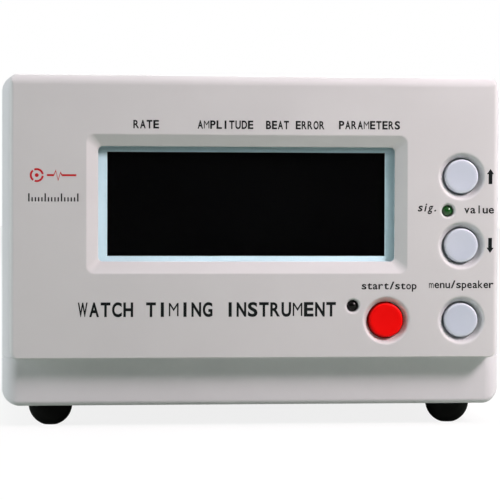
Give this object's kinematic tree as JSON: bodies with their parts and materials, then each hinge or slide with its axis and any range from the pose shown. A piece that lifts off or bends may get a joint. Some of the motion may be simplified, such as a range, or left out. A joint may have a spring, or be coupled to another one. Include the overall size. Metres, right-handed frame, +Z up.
{
  "type": "timegrapher",
  "caption": "Desktop watch timing instrument: moulded box case, front panel with recessed screen, round push keys, indicators, domed feet and rear sockets.",
  "frame": {"origin": "on the ground, under the middle of the whole object's box", "axes": "+Z up, the front panel faces -Y, +X to the right as seen from the front"},
  "size_m": [0.132, 0.1548, 0.092],
  "materials": {
    "front_panel": "fine moulded texture, warm light grey",
    "case": "fine moulded texture, off-white",
    "rear_panel": "fine moulded texture, light grey",
    "window": "clear polished acrylic",
    "mask": "pale blue print",
    "black_steel": "black stamped sheet",
    "screen": "unlit black screen",
    "white_plastic": "white light guide",
    "circuit_board": "green solder mask",
    "steel_screw": "zinc plated",
    "cap_grey": "satin, cool light grey",
    "cap_red": "satin red",
    "ivory_plastic": "moulded nylon",
    "black_plastic": "moulded black",
    "steel_sheet": "tinned sheet",
    "phosphor_bronze": "spring sheet",
    "led_green": "tinted epoxy, unlit",
    "led_dark": "dark smoked epoxy, unlit",
    "tinned_wire": "tinned",
    "chip_plastic": "moulded epoxy",
    "steel_can": "nickel plated can",
    "black_aluminium": "black anodised",
    "capacitor_sleeve": "dark blue sleeve",
    "ferrite": "ferrite",
    "paper_cone": "pressed paper",
    "nickel": "nickel plated brass",
    "gold_plate": "gold flashed",
    "foot_rubber": "black, slightly dusty",
    "ribbon": "flat cable",
    "lead_red": "insulated wire",
    "lead_grey": "screened wire"
  },
  "bodies": {
    "case": {"front_panel": "front_panel", "top_cover": "case", "bottom_tray": "case", "rear_panel": "rear_panel", "display_window": "window", "display_mask": "mask", "lcd_frame": "black_steel", "lcd_glass": "screen", "lcd_backlight": "white_plastic", "lcd_board": "circuit_board", "lcd_screws": "steel_screw", "key_switch_bases": "black_plastic", "key_switch_covers": "steel_sheet", "key_contact_domes": "phosphor_bronze", "key_board": "circuit_board", "key_board_screws": "steel_screw", "signal_led": "led_green", "power_led": "led_dark", "led_spacers": "black_plastic", "led_leads": "tinned_wire", "main_board": "circuit_board", "main_board_screws": "steel_screw", "microcontroller": "chip_plastic", "clock_oscillator": "steel_can", "preamp_shield": "steel_sheet", "amplifier_chips": "chip_plastic", "voltage_regulator": "chip_plastic", "regulator_heatsink": "black_aluminium", "filter_capacitors": "capacitor_sleeve", "board_headers": "ivory_plastic", "speaker_basket": "steel_sheet", "speaker_magnet": "ferrite", "speaker_cone": "paper_cone", "speaker_clamps": "steel_sheet", "speaker_screws": "steel_screw", "power_inlet_body": "black_plastic", "power_inlet_pin": "steel_screw", "power_inlet_terminals": "tinned_wire", "sensor_socket_shell": "nickel", "sensor_socket_insulator": "ivory_plastic", "sensor_socket_contact": "gold_plate", "sensor_socket_nut": "nickel", "sensor_earth_lug": "gold_plate", "case_screws": "steel_screw", "foot_front_left": "foot_rubber", "foot_front_right": "foot_rubber", "foot_rear_left": "foot_rubber", "foot_rear_right": "foot_rubber", "display_ribbon": "ribbon", "key_ribbon": "ribbon", "speaker_leads": "lead_red", "sensor_leads": "lead_grey"},
    "up_key": {"button_up": "cap_grey", "plunger_up": "ivory_plastic"},
    "down_key": {"button_down": "cap_grey", "plunger_down": "ivory_plastic"},
    "menu_key": {"button_menu": "cap_grey", "plunger_menu": "ivory_plastic"},
    "start_key": {"button_start": "cap_red", "plunger_start": "ivory_plastic"}
  },
  "joints": [
    {"name": "up_press", "type": "slide", "parent": "case", "child": "up_key", "axis": [0, 1, 0], "range_m": [0, 0.0004], "stiffness_N_per_m": 3200, "springref_m": -0.0001},
    {"name": "down_press", "type": "slide", "parent": "case", "child": "down_key", "axis": [0, 1, 0], "range_m": [0, 0.0004], "stiffness_N_per_m": 3200, "springref_m": -0.0001},
    {"name": "menu_press", "type": "slide", "parent": "case", "child": "menu_key", "axis": [0, 1, 0], "range_m": [0, 0.0004], "stiffness_N_per_m": 3200, "springref_m": -0.0001},
    {"name": "start_press", "type": "slide", "parent": "case", "child": "start_key", "axis": [0, 1, 0], "range_m": [0, 0.0004], "stiffness_N_per_m": 3200, "springref_m": -0.0001}
  ]
}
